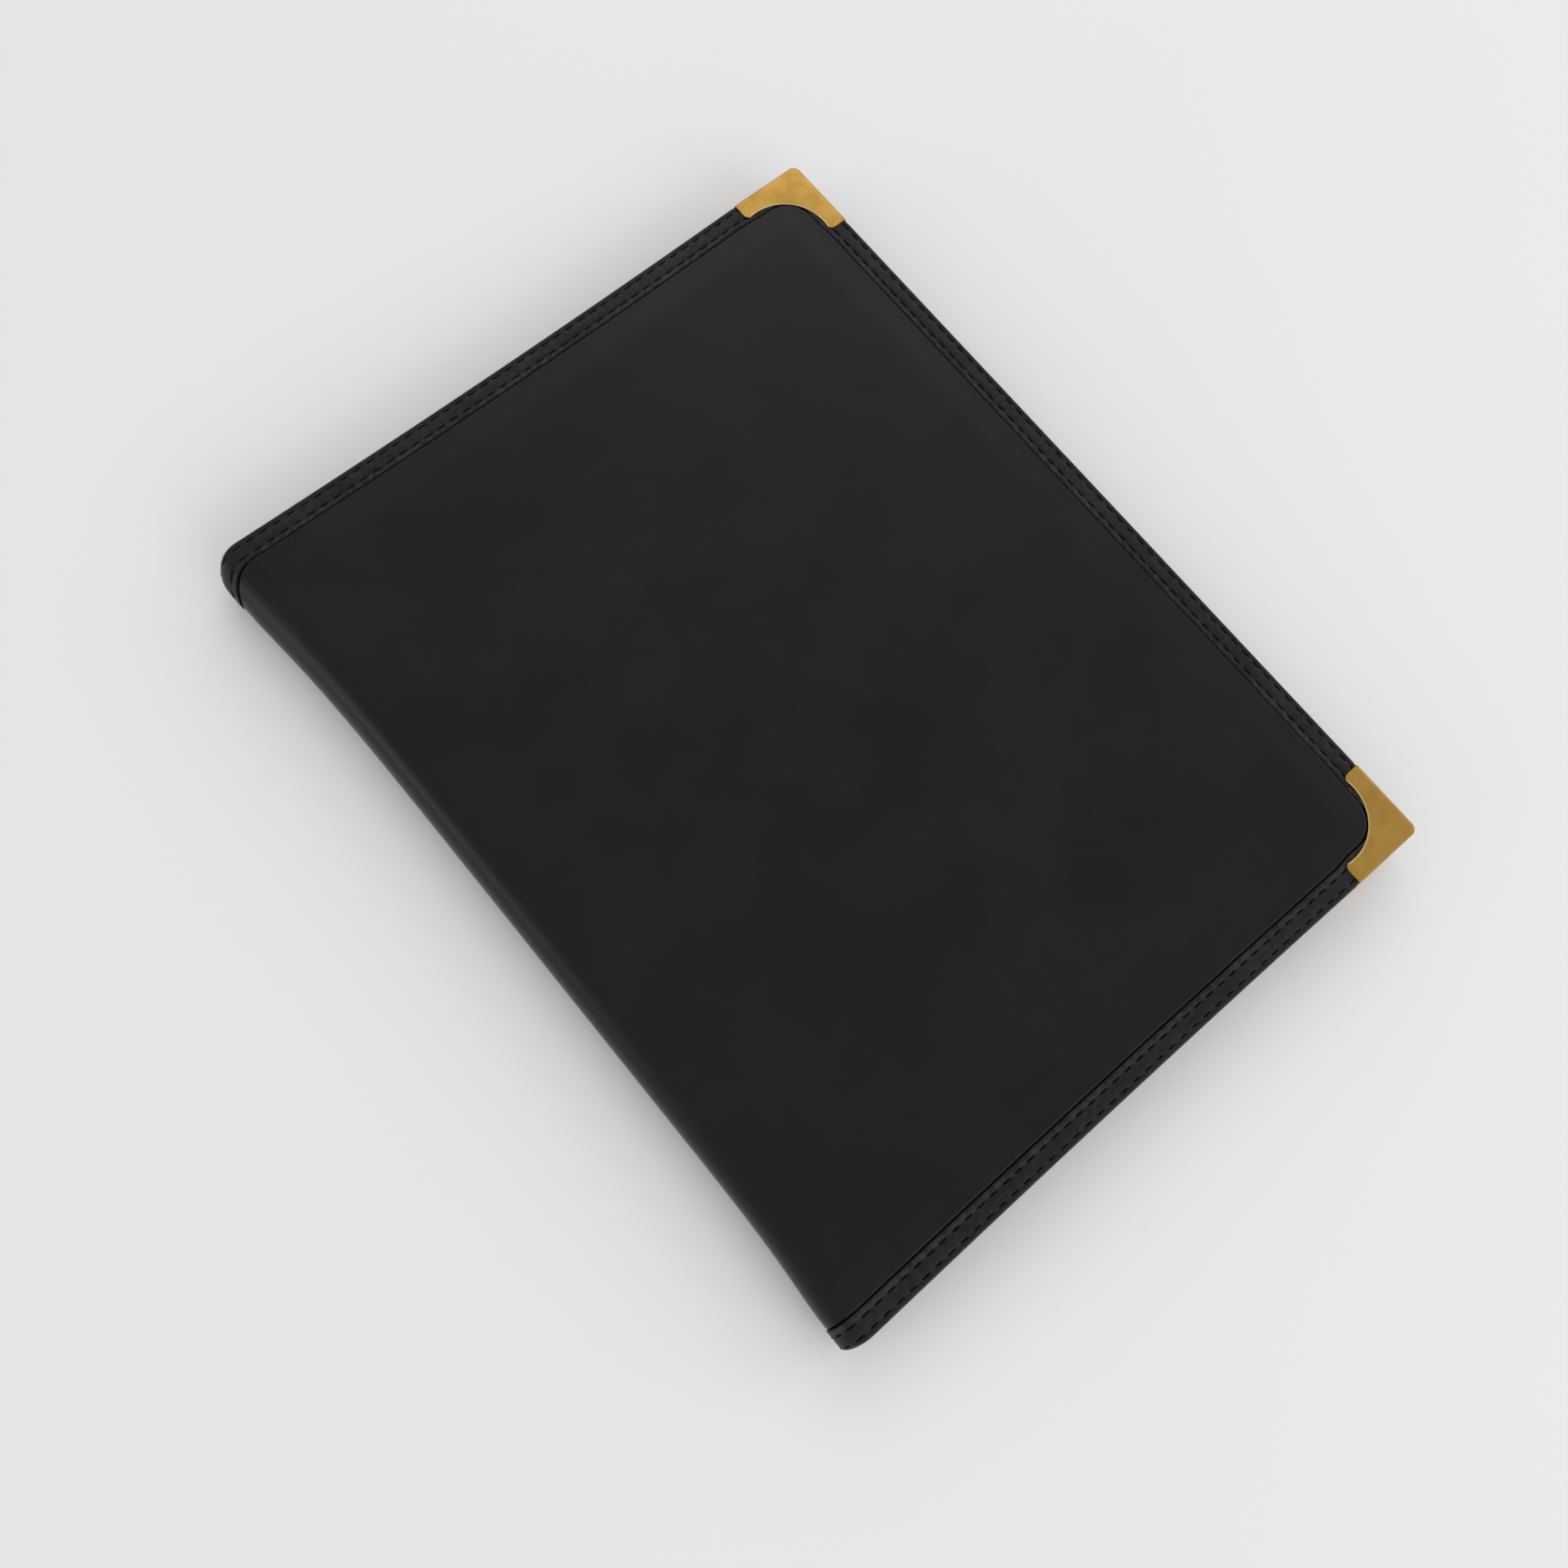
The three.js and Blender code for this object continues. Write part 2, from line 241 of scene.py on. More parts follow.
def over_hinge(piece, side):
    """Bakes a piece's place into its mesh; the piece is not bent over its hinge."""
    if side > 0:
        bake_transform(piece)
    else:
        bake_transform(piece)


class Value:
    """A shader socket on which +, - and * add Math nodes."""

    def __init__(self, finish, socket):
        self.finish = finish
        self.socket = socket

    def __add__(self, other):
        return self.finish.math("ADD", self, other)

    __radd__ = __add__

    def __sub__(self, other):
        return self.finish.math("SUBTRACT", self, other)

    def __rsub__(self, other):
        return self.finish.math("SUBTRACT", other, self)

    def __mul__(self, other):
        return self.finish.math("MULTIPLY", self, other)

    __rmul__ = __mul__


class Finish:
    """A material whose nodes are added one at a time, each by the method node."""

    def __init__(self, name):
        self.material = bpy.data.materials.new(name)
        self.material.use_nodes = True
        self.tree = self.material.node_tree
        self.tree.nodes.clear()

    def node(self, kind, settings, values, out=0):
        """Adds a node, sets it up, fills its sockets and gives back one output."""
        made = self.tree.nodes.new(kind)
        for name, setting in settings.items():
            setattr(made, name, setting)
        for name, value in values.items():
            if isinstance(value, Value):
                self.tree.links.new(value.socket, made.inputs[name])
            else:
                made.inputs[name].default_value = value
        return Value(self, made.outputs[out]) if made.outputs else None

    def math(self, operation, *values):
        """A Math node's result for one or two values."""
        return self.node("ShaderNodeMath", {"operation": operation}, dict(enumerate(values)))

    def part(self, place, axis):
        """One coordinate of a place, by its letter."""
        return self.node("ShaderNodeSeparateXYZ", {}, {"Vector": place}, axis)

    def place(self, scale=(1, 1, 1), uv=True):
        """The surface's own flat coordinates in metres, or the object's, times scale."""
        kind = ("ShaderNodeUVMap", {}, {}) if uv else ("ShaderNodeTexCoord", {}, {}, "Object")
        return self.node("ShaderNodeMapping", {}, {"Vector": self.node(*kind), "Scale": scale})

    def noise(self, place, scale, detail=3.0, roughness=0.5):
        """Noise from 0 to 1 with this many cells to the metre."""
        values = {"Vector": place, "Scale": scale, "Detail": detail, "Roughness": roughness}
        return self.node("ShaderNodeTexNoise", {}, values, "Fac")

    def blend(self, mask, dark, light):
        """dark where mask is 0 and light where it is 1, each three numbers or a Value."""
        dark, light = (end if isinstance(end, Value) else (*end, 1) for end in (dark, light))
        return self.node("ShaderNodeMix", {"data_type": "RGBA"}, {0: mask, 6: dark, 7: light}, 2)

    def step(self, value, start, end):
        """0 below start and 1 above end, with a smooth rise between."""
        values = {"Value": value, "From Min": start, "From Max": end}
        settings = {"interpolation_type": "SMOOTHSTEP"}
        return self.node("ShaderNodeMapRange", settings, values)

    def bump(self, height, distance):
        """A normal raised by height, in metres for a height of 1."""
        return self.node("ShaderNodeBump", {}, {"Height": height, "Distance": distance})

    def surface(self, **values):
        """Ends the material in a Principled shader with these sockets."""
        named = {name.replace("_", " "): value for name, value in values.items()}
        shader = self.node("ShaderNodeBsdfPrincipled", {}, named)
        self.node("ShaderNodeOutputMaterial", {}, {"Surface": shader})
        return self.material


def leather(name, dark, light, base_rough):
    """Smooth dyed leather: faint clouds in colour and gloss, a fine tight grain.

    Small creases and a slow drape lie under the grain. The spine, where it is held, is glossier.
    """
    finish = Finish(name)
    flat = finish.place()
    clouds = finish.step(finish.noise(flat, 22, 4.0, 0.6), 0.35, 0.7)
    grain = finish.noise(flat, 1500, 2.0, 0.6)
    creases = finish.noise(flat, 320, 3.0, 0.55)
    drape = finish.noise(flat, 38, 2.0, 0.5)
    handled = 1 - finish.step(finish.part(flat, "X"), round_roll * 0.7, 0.0)
    height = grain * 0.5 + creases * 0.9 + drape * 5.0
    return finish.surface(
        Base_Color=finish.blend(clouds * 0.7 + creases * 0.3, dark, light),
        Roughness=base_rough + clouds * 0.05 - grain * 0.06 - handled * 0.10,
        Specular_IOR_Level=0.225,
        Normal=finish.bump(height, 0.04 * mm),
    )


field_leather = leather("field_leather", (0.0040, 0.0040, 0.0042), (0.0078, 0.0078, 0.0081), 0.42)
fine_band = 26 * mm
near_fore = flat_width - fine_band
field_along = grid_lines(
    (round_roll, 0, 26),
    (0, near_fore, 50),
    (near_fore, flat_width - skin_inset, 60),
)
near_end = half_height - fine_band
field_across = grid_lines(
    (skin_inset - half_height, -near_end, 60),
    (-near_end, near_end, 66),
    (near_end, half_height - skin_inset, 60),
)
along, across = np.meshgrid(field_along, field_across, indexing="ij")
flat_places = np.stack([along, across], -1).reshape(-1, 2)
for side, cover in covers:
    depth = field_depth(along, across, 0, 0)
    skin = skin_between(
        f"{cover}_leather",
        wrap(side, along, across, depth),
        wrap(side, along, across, depth + skin_thickness),
        flat_places + (0, side),
    )
    skin.data.materials.append(field_leather)
    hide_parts(f"{cover}_skin", "spine_skin")
    over_hinge(skin, side)


# The padding is a sheet of soft foam glued to the board and carried on round the roll. It
# fills the leather, so that it is tight all over.
foam_inset = 9.9 * mm
foam_set = 1.15 * mm
foam_back = 3.4 * mm
foam_least = 0.2 * mm


def soft_foam():
    """Cream foam with fine open cells."""
    finish = Finish("foam")
    cells = finish.noise(finish.place(), 900, 3.0)
    return finish.surface(
        Base_Color=finish.blend(cells, (0.62, 0.58, 0.50), (0.76, 0.73, 0.66)),
        Roughness=0.9,
        Normal=finish.bump(cells, 0.2 * mm),
    )


foam_finish = soft_foam()
foam_along, foam_across = np.meshgrid(
    grid_lines((round_roll, 0, 16), (0, near_fore, 20), (near_fore, flat_width - foam_inset, 16)),
    grid_lines(
        (foam_inset - half_height, -near_end, 16),
        (-near_end, near_end, 20),
        (near_end, half_height - foam_inset, 16),
    ),
    indexing="ij",
)
foam_places = np.stack([foam_along, foam_across], -1).reshape(-1, 2)
for side, cover in covers:
    face = field_depth(foam_along, foam_across, foam_set, foam_set)
    pad = skin_between(
        f"{cover}_foam",
        wrap(side, foam_along, foam_across, np.minimum(face, foam_back - foam_least)),
        wrap(side, foam_along, foam_across, np.full_like(foam_along, foam_back)),
        foam_places,
    )
    pad.data.materials.append(foam_finish)
    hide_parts(f"{cover}_padding", "spine_padding")
    over_hinge(pad, side)


# A leather strip is folded over the edges at head, fore edge and tail and sewn through with
# two rows of stitches, which pull it down into two furrows. A low rib stands inside the
# inner row. The strip goes on round the ends of the spine.
binding_face = 1.6 * mm
binding_thickness = 0.9 * mm
binding_width = 8.5 * mm
edge_ease = 0.25 * mm
inner_face = 6.9 * mm
inner_back = 7.8 * mm
fold_round = 1.3 * mm
strip_corner = 3.2 * mm
outer_row = 2.1 * mm
inner_row = 6.1 * mm
stitch_pitch = 5.15 * mm
furrow_depth = 0.62 * mm
furrow_half = 0.31 * mm
spine_lift = 1.72 * mm
slot_mean, slot_swing = 0.65, 0.95
outer_between = 0.14
inner_between = 0.25
rib_place, rib_half, rib_height = 7.4 * mm, 0.65 * mm, 0.20 * mm
swell_place, swell_half, swell_height = 4.1 * mm, 1.2 * mm, 0.08 * mm
stretched_loss = 0.8
lift_run = 0.8 * roll
route_length = 2 * (flat_width - round_roll) + 2 * half_height
face_steps = 30


def strip_section():
    """The strip's closed section as insets and depths, with round folds and round edges."""
    fold = np.linspace(0, np.pi / 2, 6)[1:]
    bent = fold[[1, 4]]
    tip = np.linspace(0, np.pi, 5)[1:-1]
    half = binding_thickness / 2
    tip_start = binding_width - half
    inner_round = fold_round - binding_thickness
    under_face = binding_face + binding_thickness
    runs = (
        (np.linspace(binding_width - edge_ease, fold_round, face_steps), binding_face),
        (fold_round * (1 - np.sin(fold)), binding_face + fold_round * (1 - np.cos(fold))),
        (fold_round * (1 - np.cos(fold)), inner_back - fold_round * (1 - np.sin(fold))),
        (np.linspace(fold_round, tip_start, 8)[1:], inner_back),
        (tip_start + half * np.sin(tip), inner_back - half + half * np.cos(tip)),
        (np.linspace(tip_start, fold_round, 4), inner_face),
        (fold_round - inner_round * np.sin(bent), inner_face - inner_round * (1 - np.cos(bent))),
        (fold_round - inner_round * np.cos(bent), under_face + inner_round * (1 - np.sin(bent))),
        (np.linspace(fold_round, tip_start, 4)[1:], under_face),
        (tip_start + half * np.sin(tip)[:2], binding_face + half + half * np.cos(tip)[:2]),
    )
    return np.concatenate([np.broadcast_arrays(inset, depth) for inset, depth in runs], 1)


def edge_route(distance, inset):
    """A point of the sewn edge: round the roll, along the head, the fore edge and the tail.

    distance is measured along the cover's outline from the middle of the spine. The point
    lies inset from it. At the corners, under the clips, the strip is mitred, and its edge is
    drawn in to a circle.
    """
    head = flat_width - round_roll
    fore = 2 * half_height
    side_along = np.where(distance < head + fore / 2, distance, 2 * head + fore - distance)
    along = np.minimum(side_along + round_roll, flat_width - inset)
    level = np.clip(half_height - (distance - head), -half_height, half_height)
    across = np.clip(level, inset - half_height, half_height - inset)
    past_x = np.clip(along - flat_width + strip_corner, 0, None)
    past_y = np.clip(np.abs(across) - half_height + strip_corner, 0, None)
    reach = np.maximum(np.hypot(past_x, past_y), 1e-9)
    drawn = np.clip(1 - np.clip(strip_corner - inset, 0, None) / reach, 0, 1)
    drawn = np.where((past_x > 0) & (past_y > 0), drawn, 0)
    return along - past_x * drawn, across - np.sign(across) * past_y * drawn


def bell(inset, middle, half):
    """exp(-d**2), where d is the distance from middle in halves."""
    return np.exp(-(((inset - middle) / half) ** 2))


def seam_pull(distance, inset):
    """How deep the two rows draw the leather down: a bell across, a slot at each stitch.

    A low swell stands between the rows, and the rib inside the inner one is lower beside the
    slots. Round the roll, where it is stretched, all this is weaker.
    """
    from_middle = np.minimum(distance, route_length - distance)
    stretched = 1 - smooth(-from_middle / round_roll)
    beat = np.cos(2 * np.pi * distance / stitch_pitch)
    slot = np.clip(slot_mean - slot_swing * beat, 0, 1)
    outer = bell(inset, outer_row, furrow_half) * (outer_between + (1 - outer_between) * slot)
    inner = bell(inset, inner_row, furrow_half) * (inner_between + (1 - inner_between) * slot)
    rib = rib_height * bell(inset, rib_place, rib_half) * (1 - 0.1 * slot)
    swell = swell_height * bell(inset, swell_place, swell_half)
    return (furrow_depth * (outer + inner) - rib - swell) * (1 - stretched_loss * stretched)


def spine_rise(along, depth):
    """How much nearer the padded face the strip lies on the roll, less so further in."""
    through = (inner_back - depth) / (inner_back - binding_face)
    return spine_lift * smooth(-along / lift_run) * np.clip(through, 0, 1)


def border_leather():
    """The strip's leather: duller than the field and creased, with painted shade in the stitches' slots.

    Its high places are worn lighter, and on the rib and the fold they are lighter still, as a painted
    highlight.
    """
    finish = Finish("border_leather")
    flat = finish.place()
    level = finish.part(flat, "Y")
    beat = finish.math("COSINE", finish.part(flat, "X") * (2 * np.pi / stitch_pitch))
    past_outer = finish.step(finish.math("ABSOLUTE", level - outer_row), 0.0, 0.3 * mm)
    past_inner = finish.step(finish.math("ABSOLUTE", level - inner_row), 0.0, 0.3 * mm)
    # Painted shade: this mask takes the colour down to the dark leather in each stitch's slot, and makes
    # the slot rougher and lower.
    slot = (2 - past_outer - past_inner) * (1 - finish.step(beat, -0.15, 0.25) * 0.85)
    rib = finish.step(level, 6.6 * mm, 7.0 * mm) * (1 - finish.step(level, 7.8 * mm, 8.3 * mm))
    fold = 1 - finish.step(level, 0.6 * mm, 1.2 * mm)
    clouds = finish.noise(flat, 45, 4.0, 0.6)
    grain = finish.noise(flat, 1300, 3.0, 0.65)
    creases = finish.noise(flat, 420, 3.0, 0.6)
    high = finish.step(clouds * 0.4 + creases * 0.6, 0.42, 0.62)
    # Wear on the high places, a painted highlight on the rib and the fold, and painted shade in the
    # slots.
    worn_and_highlit = (high * (0.42 + rib * 0.85 + fold * 0.6)) * (1 - slot)
    height = grain * 0.8 + creases * 2.4 - slot * 2.0
    return finish.surface(
        Base_Color=finish.blend(worn_and_highlit, (0.0040, 0.0040, 0.0042), (0.0240, 0.0240, 0.0247)),
        Roughness=0.44 + clouds * 0.08 - grain * 0.06 + slot * 0.4,
        Specular_IOR_Level=0.25,
        Normal=finish.bump(height, 0.16 * mm),
    )


strip_finish = border_leather()
section_inset, section_depth = strip_section()
stations = np.linspace(0, route_length, 1200)
station, inset = np.meshgrid(stations, section_inset, indexing="ij")
outside = np.arange(len(section_inset)) < face_steps
strip_depth = section_depth + np.where(outside, seam_pull(station, inset), 0)
strip_along, strip_across = edge_route(station, inset)
strip_depth = strip_depth - spine_rise(strip_along, strip_depth)
profile_step = np.hypot(np.diff(section_inset), np.diff(section_depth))
profile_length = np.concatenate([[0], np.cumsum(profile_step)])
strip_level = np.where(outside, section_inset, binding_width + profile_length)
strip_places = np.stack(np.broadcast_arrays(station, strip_level), -1)
numbers = np.arange(station.size).reshape(station.shape)
strip_sides = quads(np.concatenate([numbers, numbers[:, :1]], 1)).reshape(-1, 4).tolist()
strip_ends = [numbers[0].tolist(), numbers[-1].tolist()]
for side, cover in covers:
    strip = make_piece(
        f"{cover}_border",
        wrap(side, strip_along, strip_across, strip_depth),
        strip_sides + strip_ends,
        strip_places,
        len(strip_sides),
    )
    strip.data.materials.append(strip_finish)
    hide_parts(f"{cover}_binding", "spine_top_binding", "spine_bottom_binding")
    over_hinge(strip, side)


# The stitches are of black twisted thread, sewn by machine through the strip and the board.
# Each is drawn tight, so that its ends go down into their holes. Both rows run under the clips.
stitch_length = 3.1 * mm
stitch_radius = 0.22 * mm
stitch_sink = 0.5 * mm
stitch_slant = 0.14 * mm
stitch_proud = 0.05 * mm
clip_cover = 26.5 * mm
inside_start = 3 * mm - round_roll


def stitches(side, row, face, facing, start):
    """One row of stitches as closed spindles, each bent down at both ends.

    facing is 1 on the padded face and -1 inside the cover. start is how far from the middle
    of the spine the row begins.
    """
    head = flat_width - round_roll
    fore = 2 * half_height
    middles = np.arange(0.5, route_length / stitch_pitch) * stitch_pitch
    from_corner = np.minimum(np.abs(middles - head), np.abs(middles - head - fore))
    from_spine = np.minimum(middles, route_length - middles)
    middles = middles[(from_corner > clip_cover) & (from_spine > start)]
    step = np.linspace(-1, 1, 9)[:, None]
    angle = np.linspace(0, 2 * np.pi, 7)[:-1]
    fat = stitch_radius * np.sqrt(np.clip(1 - step**4, 0, 1))
    lie = middles[:, None, None] + stitch_length / 2 * step
    level = row + fat * np.cos(angle) + stitch_slant * step
    proud = stitch_proud + fat * np.sin(angle) - stitch_sink * np.abs(step) ** 5
    lie, level, proud = np.broadcast_arrays(lie, level, proud)
    along, across = edge_route(lie, level)
    pulled = seam_pull(lie, row) if facing > 0 else 0
    depth = face + pulled - facing * proud
    points = wrap(side, along, across, depth - spine_rise(along, depth))
    one = np.arange(step.size * angle.size).reshape(step.size, angle.size)
    ring = np.concatenate([one, one[:, :1]], 1)
    starts = np.arange(len(middles)) * one.size
    faces = quads(ring).reshape(-1, 4) + starts[:, None, None]
    uv = np.stack(np.broadcast_arrays(lie, angle * stitch_radius), -1)
    return points.reshape(-1, 3), faces.reshape(-1, 4), uv.reshape(-1, 2)


def thread():
    """Twisted thread: dark fibres of uneven tone, with lines of painted highlight where the plies turn
    over.
    """
    finish = Finish("thread")
    flat = finish.place()
    values = {"Vector": flat, "Scale": 900.0, "Distortion": 1.5}
    plies = finish.node("ShaderNodeTexWave", {"bands_direction": "DIAGONAL"}, values, "Fac")
    fibres = finish.noise(flat, 4000, 2.0)
    # Painted highlight along the plies' crests, mixed with the fibres' own uneven tone.
    ply_highlight_and_fibres = plies * 0.7 + fibres * 0.3
    return finish.surface(
        Base_Color=finish.blend(ply_highlight_and_fibres, (0.0010, 0.0010, 0.0010), (0.0060, 0.0060, 0.0060)),
        Roughness=0.75 + fibres * 0.1,
        Specular_IOR_Level=0.12,
        Normal=finish.bump(plies + fibres * 0.4, 0.08 * mm),
    )


thread_finish = thread()
for side, cover in covers:
    for row, name in ((outer_row, "outer"), (inner_row, "inner")):
        shown = stitches(side, row, binding_face, 1, 0)
        within = stitches(side, row, inner_back, -1, inside_start)
        seam = make_piece(
            f"{cover}_{name}_stitches",
            np.concatenate([shown[0], within[0]]),
            np.concatenate([shown[1], within[1] + len(shown[0])]).tolist(),
            np.concatenate([shown[2], within[2]]),
        )
        seam.data.materials.append(thread_finish)
        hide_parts(f"{cover}_{name}_seam", f"spine_top_{name}_seam", f"spine_bottom_{name}_seam")
        over_hinge(seam, side)


# The lining is black cloth glued to the inside of both boards and loose across the spine.
# It is cut as one piece with the covers and turned in under the sewn strip.
def lining_cloth():
    """Plain-woven black cloth: threads over and under each other, half a millimetre apart."""
    finish = Finish("lining_cloth")
    flat = finish.place()
    turn = 2 * np.pi / (0.55 * mm)
    warp, weft = (finish.math("SINE", finish.part(flat, axis) * turn) for axis in "XY")
    weave = warp * weft * 0.5 + 0.5
    slub = finish.noise(flat, 260, 3.0)
    return finish.surface(
        Base_Color=finish.blend(weave * 0.6 + slub * 0.4, (0.006, 0.006, 0.007), (0.020, 0.020, 0.022)),
        Roughness=0.78,
        Normal=finish.bump(weave + slub, 0.06 * mm),
    )


lining_finish = lining_cloth()
lining_face = 6.0 * mm
lining_back = 6.6 * mm
lining_along, lining_across = np.meshgrid(
    grid_lines((round_roll, 0, 20), (0, flat_width - skin_inset, 24)),
    grid_lines((skin_inset - half_height, half_height - skin_inset, 40)),
    indexing="ij",
)
lining_places = np.stack([lining_along, lining_across], -1).reshape(-1, 2)
for side, cover in covers:
    lining = skin_between(
        f"{cover}_lining_cloth",
        wrap(side, lining_along, lining_across, np.full_like(lining_along, lining_face)),
        wrap(side, lining_along, lining_across, np.full_like(lining_along, lining_back)),
        lining_places,
    )
    lining.data.materials.append(lining_finish)
    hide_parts(f"{cover}_lining", "spine_lining")
    over_hinge(lining, side)


# Each cover is carried by a sheet of grey board. It is wrapped all round by the leather,
# the lining and the strip.
def refinish(kind, material):
    """Gives both covers' own solids of this kind a material."""
    for side, cover in covers:
        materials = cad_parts[f"{cover}_{kind}"].data.materials
        materials.clear()
        materials.append(material)


def grey_board():
    """Matt grey board, mottled by its pulp."""
    finish = Finish("grey_board")
    pulp = finish.noise(finish.place(uv=False), 700, 5.0, 0.7)
    return finish.surface(
        Base_Color=finish.blend(pulp, (0.20, 0.18, 0.15), (0.36, 0.33, 0.28)),
        Roughness=0.88,
        Normal=finish.bump(pulp, 0.15 * mm),
    )


refinish("board", grey_board())


# A pocket of clear soft film lies on each lining, sewn in at head, fore edge and tail. Its
# edge towards the spine is open for the menu sheet.
def clear_film():
    """Glossy clear film with slow ripples."""
    finish = Finish("clear_film")
    ripple = finish.noise(finish.place(uv=False), 26, 2.0)
    return finish.surface(
        Base_Color=finish.blend(ripple, (0.10, 0.105, 0.11), (0.16, 0.165, 0.17)),
        Roughness=0.08 + ripple * 0.10,
        Alpha=0.22 + ripple * 0.06,
        IOR=2.0,
        Normal=finish.bump(ripple, 1.2 * mm),
    )


refinish("pocket", clear_film())


# Each fore-edge corner carries a clip of thin brass sheet, folded over both edges and pressed
# on. Its arms end square, and the arc of its inner edge turns round into each arm's end.
clip_arm = 27.8 * mm
clip_centre = 23.5 * mm
clip_arc = 17 * mm
clip_sheet = 0.5 * mm
clip_end = 1.8 * mm
clip_bend = 0.9 * mm
clip_corner = 2.6 * mm
clip_play = 0.02 * mm
clip_rim = 0.2 * mm
clip_within = 10 * mm


def satin_brass():
    """Satin brass with faint brush marks and cloudy tarnish, dark on the folds.

    The edge along the arc is painted bright, as a highlight where its bevel catches the light.
    """
    finish = Finish("satin_brass")
    place = finish.place(uv=False)
    brushed = finish.noise(finish.place((1, 14, 1), uv=False), 700, 3.0, 0.6)
    tarnish = finish.step(finish.noise(place, 120, 4.0, 0.6), 0.35, 0.75)
    mirrored = finish.node("ShaderNodeVectorMath", {"operation": "ABSOLUTE"}, {0: place})
    in_plan = finish.node("ShaderNodeVectorMath", {"operation": "MULTIPLY"}, {0: mirrored, 1: (1, 1, 0)})
    centre = (fore_x - clip_centre, half_height - clip_centre, 0)
    to_arc = {0: in_plan, 1: centre}
    from_arc = finish.node("ShaderNodeVectorMath", {"operation": "DISTANCE"}, to_arc, "Value")
    # Painted highlight: a bright line along the arc's edge, for its bevel catching the light.
    arc_highlight = 1 - finish.step(from_arc, clip_arc + 0.15 * mm, clip_arc + 0.7 * mm)
    on_fore, on_end = (
        1 - finish.step(finish.part(in_plan, axis), edge - 0.4 * mm, edge + 0.1 * mm)
        for axis, edge in (("X", fore_x), ("Y", half_height))
    )
    folded = 1 - on_fore * on_end
    metal = finish.blend(tarnish, (0.52, 0.308, 0.074), (0.42, 0.240, 0.049))
    metal = finish.blend(arc_highlight * 0.8, metal, (0.86, 0.62, 0.30))
    metal = finish.blend(folded * 0.5, metal, (0.16, 0.085, 0.030))
    return finish.surface(
        Base_Color=metal,
        Metallic=1.0,
        Roughness=0.30 + tarnish * 0.08 + brushed * 0.06,
        Normal=finish.bump(brushed, 0.012 * mm),
    )


brass_finish = satin_brass()


def clip_sheet_surface():
    """The outer face of one clip as a grid, in distances in from the fore edge and the head.

    One way runs from the fore-edge arm's end round the corner to the head arm's end. The
    other runs from the arc, which ends in a quarter round at each arm, over the front plate,
    round the folded edge and back to the arc.
    """
    round_y = clip_arm - clip_end
    round_x = clip_centre - np.sqrt((clip_arc + clip_end) ** 2 - (round_y - clip_centre) ** 2)
    lean = np.arctan2(clip_centre - round_y, clip_centre - round_x)
    bent = np.linspace(np.pi / 2, lean, 8)[:-1]
    bent = np.stack([round_x + clip_end * np.cos(bent), round_y + clip_end * np.sin(bent)], -1)
    turn = np.linspace(lean, np.pi / 2 - lean, 47)
    arc = clip_centre - clip_arc * np.stack([np.cos(turn), np.sin(turn)], -1)
    arc = np.concatenate([bent, arc, bent[::-1, ::-1]])
    leg = clip_arm + clip_sheet - clip_corner
    bend = clip_corner * np.pi / 2
    run = np.linspace(0, 2 * leg + bend, len(arc))
    angle = np.clip((run - leg) / clip_corner, 0, np.pi / 2)
    edge_x = clip_corner * (1 - np.cos(angle)) + np.maximum(run - leg - bend, 0) - clip_sheet
    edge_y = clip_corner * (1 - np.sin(angle)) + np.maximum(leg - run, 0) - clip_sheet
    normal = np.stack([np.cos(angle), np.sin(angle)], -1)
    edge = np.stack([edge_x, edge_y], -1)
    share = np.linspace(0, 1, 9)
    fold = np.linspace(0, np.pi / 2, 5)
    top = binding_face - clip_sheet
    bottom = inner_back + clip_sheet
    first = edge + normal * clip_bend
    plate = arc[:, None] + (first - arc)[:, None] * share[:, None]
    folded = first[:, None] - normal[:, None] * (clip_bend * np.sin(fold))[1:, None]
    outer = np.concatenate([plate, folded], 1)
    bent_down = top + clip_bend * (1 - np.cos(fold))[1:]
    down = np.concatenate([np.full_like(share, top), bent_down])
    places = np.concatenate([outer, outer[:, ::-1]], 1)
    depths = np.concatenate([down, top + bottom - down[::-1]])
    return places, np.broadcast_to(depths, places.shape[:2])


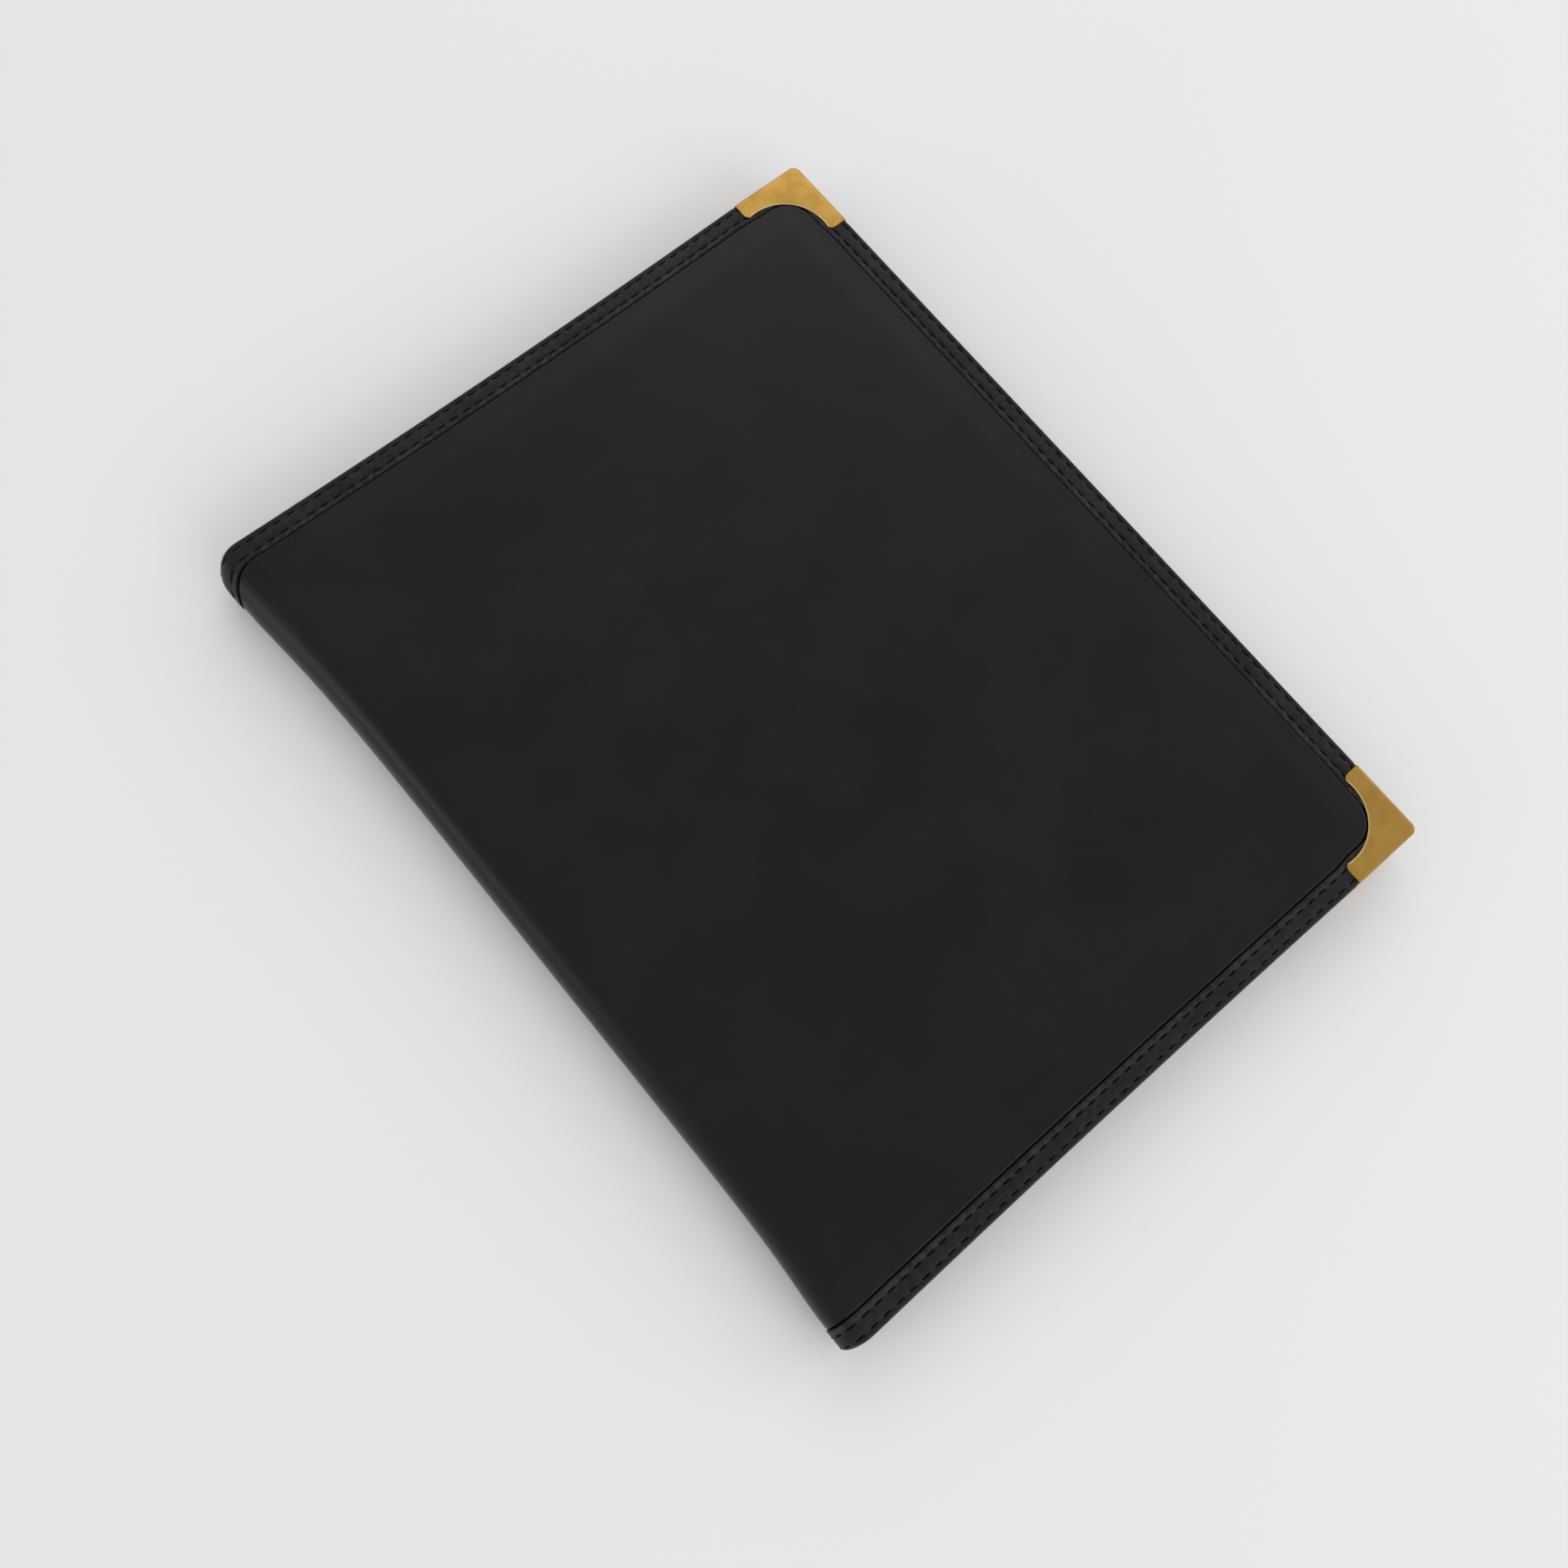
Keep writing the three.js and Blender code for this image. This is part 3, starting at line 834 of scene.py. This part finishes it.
clip_places, clip_depths = clip_sheet_surface()
for side, cover in covers:
    for end, name in ((1, "top"), (-1, "bottom")):
        x = fore_x - clip_places[..., 0]
        y = end * (half_height - clip_places[..., 1])
        z = roll + side * (roll - clip_depths)
        numbers = np.arange(x.size).reshape(x.shape)
        clip = make_piece(
            f"{cover}_{name}_corner",
            np.stack([x, y, z], -1),
            quads(numbers).reshape(-1, 4).tolist(),
            np.stack([x, y], -1),
        )
        middle = Vector((fore_x - clip_within, end * (half_height - clip_within), z.mean()))
        outwards = sum((face.center - middle).dot(face.normal) for face in clip.data.polygons)
        if outwards < 0:
            clip.data.flip_normals()
        wall = clip.modifiers.new("sheet", "SOLIDIFY")
        wall.thickness = clip_sheet - clip_play
        wall.offset = -1
        rim = clip.modifiers.new("rim", "BEVEL")
        rim.width = clip_rim
        rim.segments = 3
        rim.limit_method = "ANGLE"
        rim.angle_limit = 0.9
        clip.data.materials.append(brass_finish)
        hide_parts(f"{cover}_{name}_clip")
        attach(clip, f"{cover}_cover")


# A pale floor lies under the folder. Four soft lamps stand round it and none overhead, so
# that the black leather doesn't turn grey, in an even white room.
def pale_floor():
    """Matt off-white floor with very faint clouds."""
    finish = Finish("pale_floor")
    clouds = finish.noise(finish.place(uv=False), 3, 2.0)
    return finish.surface(
        Base_Color=finish.blend(clouds, (0.89, 0.89, 0.895), (0.925, 0.925, 0.93)),
        Roughness=0.9,
    )


floor_radius = 1.9
floor_turn = np.linspace(0, 2 * np.pi, 97)[:-1]
floor_rim = np.stack([np.cos(floor_turn), np.sin(floor_turn), 0 * floor_turn], -1)
floor_points = floor_radius * floor_rim
floor = make_piece("floor", floor_points, [list(range(len(floor_turn)))], floor_points[:, :2])
floor.location.z = -0.2 * mm
floor.data.materials.append(pale_floor())


def soft_light(name, place, size, power):
    """A rectangular lamp at place that looks at the folder."""
    lamp = bpy.data.lights.new(name, "AREA")
    lamp.shape = "RECTANGLE"
    lamp.size = size[0]
    lamp.size_y = size[1]
    lamp.energy = power
    made = bpy.data.objects.new(name, lamp)
    made.location = place
    made.rotation_euler = Vector(place).to_track_quat("Z", "Y").to_euler()
    bpy.context.scene.collection.objects.link(made)


soft_light("head_light", (1.60, 1.70, 1.52), (2.4, 1.9), 14.5)
soft_light("spine_light", (-2.10, 0.75, 0.60), (1.0, 0.9), 4.6)
soft_light("tail_light", (0.16, -2.32, 1.28), (2.2, 1.3), 17.5)
soft_light("fore_light", (2.48, -0.96, 0.99), (1.9, 1.6), 10)
world = bpy.data.worlds.new("studio")
bpy.context.scene.world = world
world.use_nodes = True
world.node_tree.nodes["Background"].inputs["Color"].default_value = (1, 1, 1, 1)
world.node_tree.nodes["Background"].inputs["Strength"].default_value = 0.63
bpy.context.scene.view_settings.view_transform = "Standard"
